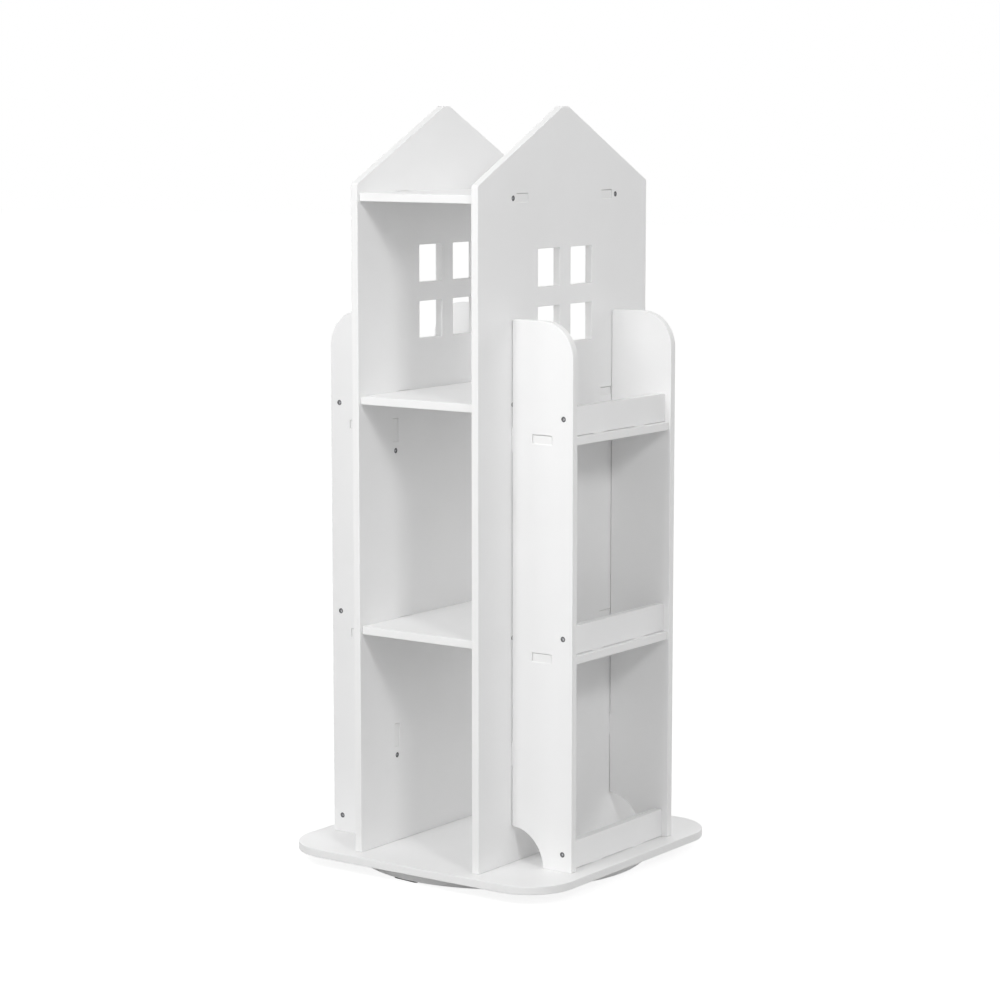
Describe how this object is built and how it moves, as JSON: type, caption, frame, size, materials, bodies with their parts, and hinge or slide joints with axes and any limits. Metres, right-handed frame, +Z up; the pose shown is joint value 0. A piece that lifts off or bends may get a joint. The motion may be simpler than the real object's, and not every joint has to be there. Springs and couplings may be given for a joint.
{
  "type": "revolving bookcase",
  "caption": "House-shaped bookcase of slotted boards, open shelves between gabled uprights and lipped side shelves, turning on a caged-ball bearing.",
  "frame": {"origin": "middle of the floor contact, on the turning axis", "axes": "+Z up along the turning axis, X across the two house panels, Y along them"},
  "size_m": [0.48, 0.48, 1.1198],
  "materials": {
    "white_board": "satin white paint on fibreboard",
    "screw_steel": "zinc-plated",
    "dowel_wood": "bare beech",
    "pad_rubber": "matt",
    "bearing_aluminium": "turned",
    "ball_steel": "polished",
    "cage_plastic": "moulded"
  },
  "bodies": {
    "stand": {"ground_disc": "white_board", "foot_pads": "pad_rubber", "bearing_fixed_ring": "bearing_aluminium", "ground_disc_screws": "screw_steel"},
    "ball_cage": {"bearing_ball_cage": "cage_plastic", "bearing_balls": "ball_steel"},
    "carousel": {"base_plate": "white_board", "house_panel_left": "white_board", "house_panel_right": "white_board", "side_panel_left_front": "white_board", "side_panel_left_rear": "white_board", "side_panel_right_front": "white_board", "side_panel_right_rear": "white_board", "side_shelf_left_lower": "white_board", "side_shelf_left_upper": "white_board", "side_shelf_right_lower": "white_board", "side_shelf_right_upper": "white_board", "lip_left_base": "white_board", "lip_left_lower": "white_board", "lip_left_upper": "white_board", "lip_right_base": "white_board", "lip_right_lower": "white_board", "lip_right_upper": "white_board", "lower_shelf": "white_board", "middle_shelf": "white_board", "roof_shelf": "white_board", "shelf_screws": "screw_steel", "side_panel_screws": "screw_steel", "lip_screws": "screw_steel", "base_screws": "screw_steel", "bearing_screws": "screw_steel", "alignment_dowels": "dowel_wood", "bearing_turning_ring": "bearing_aluminium"}
  },
  "joints": [
    {"name": "carousel_spin", "type": "hinge", "parent": "stand", "child": "carousel", "pos_m": [0, 0, 0.0145], "axis": [0, 0, 1], "continuous": true},
    {"name": "cage_spin", "type": "hinge", "parent": "stand", "child": "ball_cage", "pos_m": [0, 0, 0.0145], "axis": [0, 0, 1], "continuous": true}
  ],
  "couplings": [
    {"joint": "cage_spin", "follows": "carousel_spin", "ratio": 0.5}
  ]
}
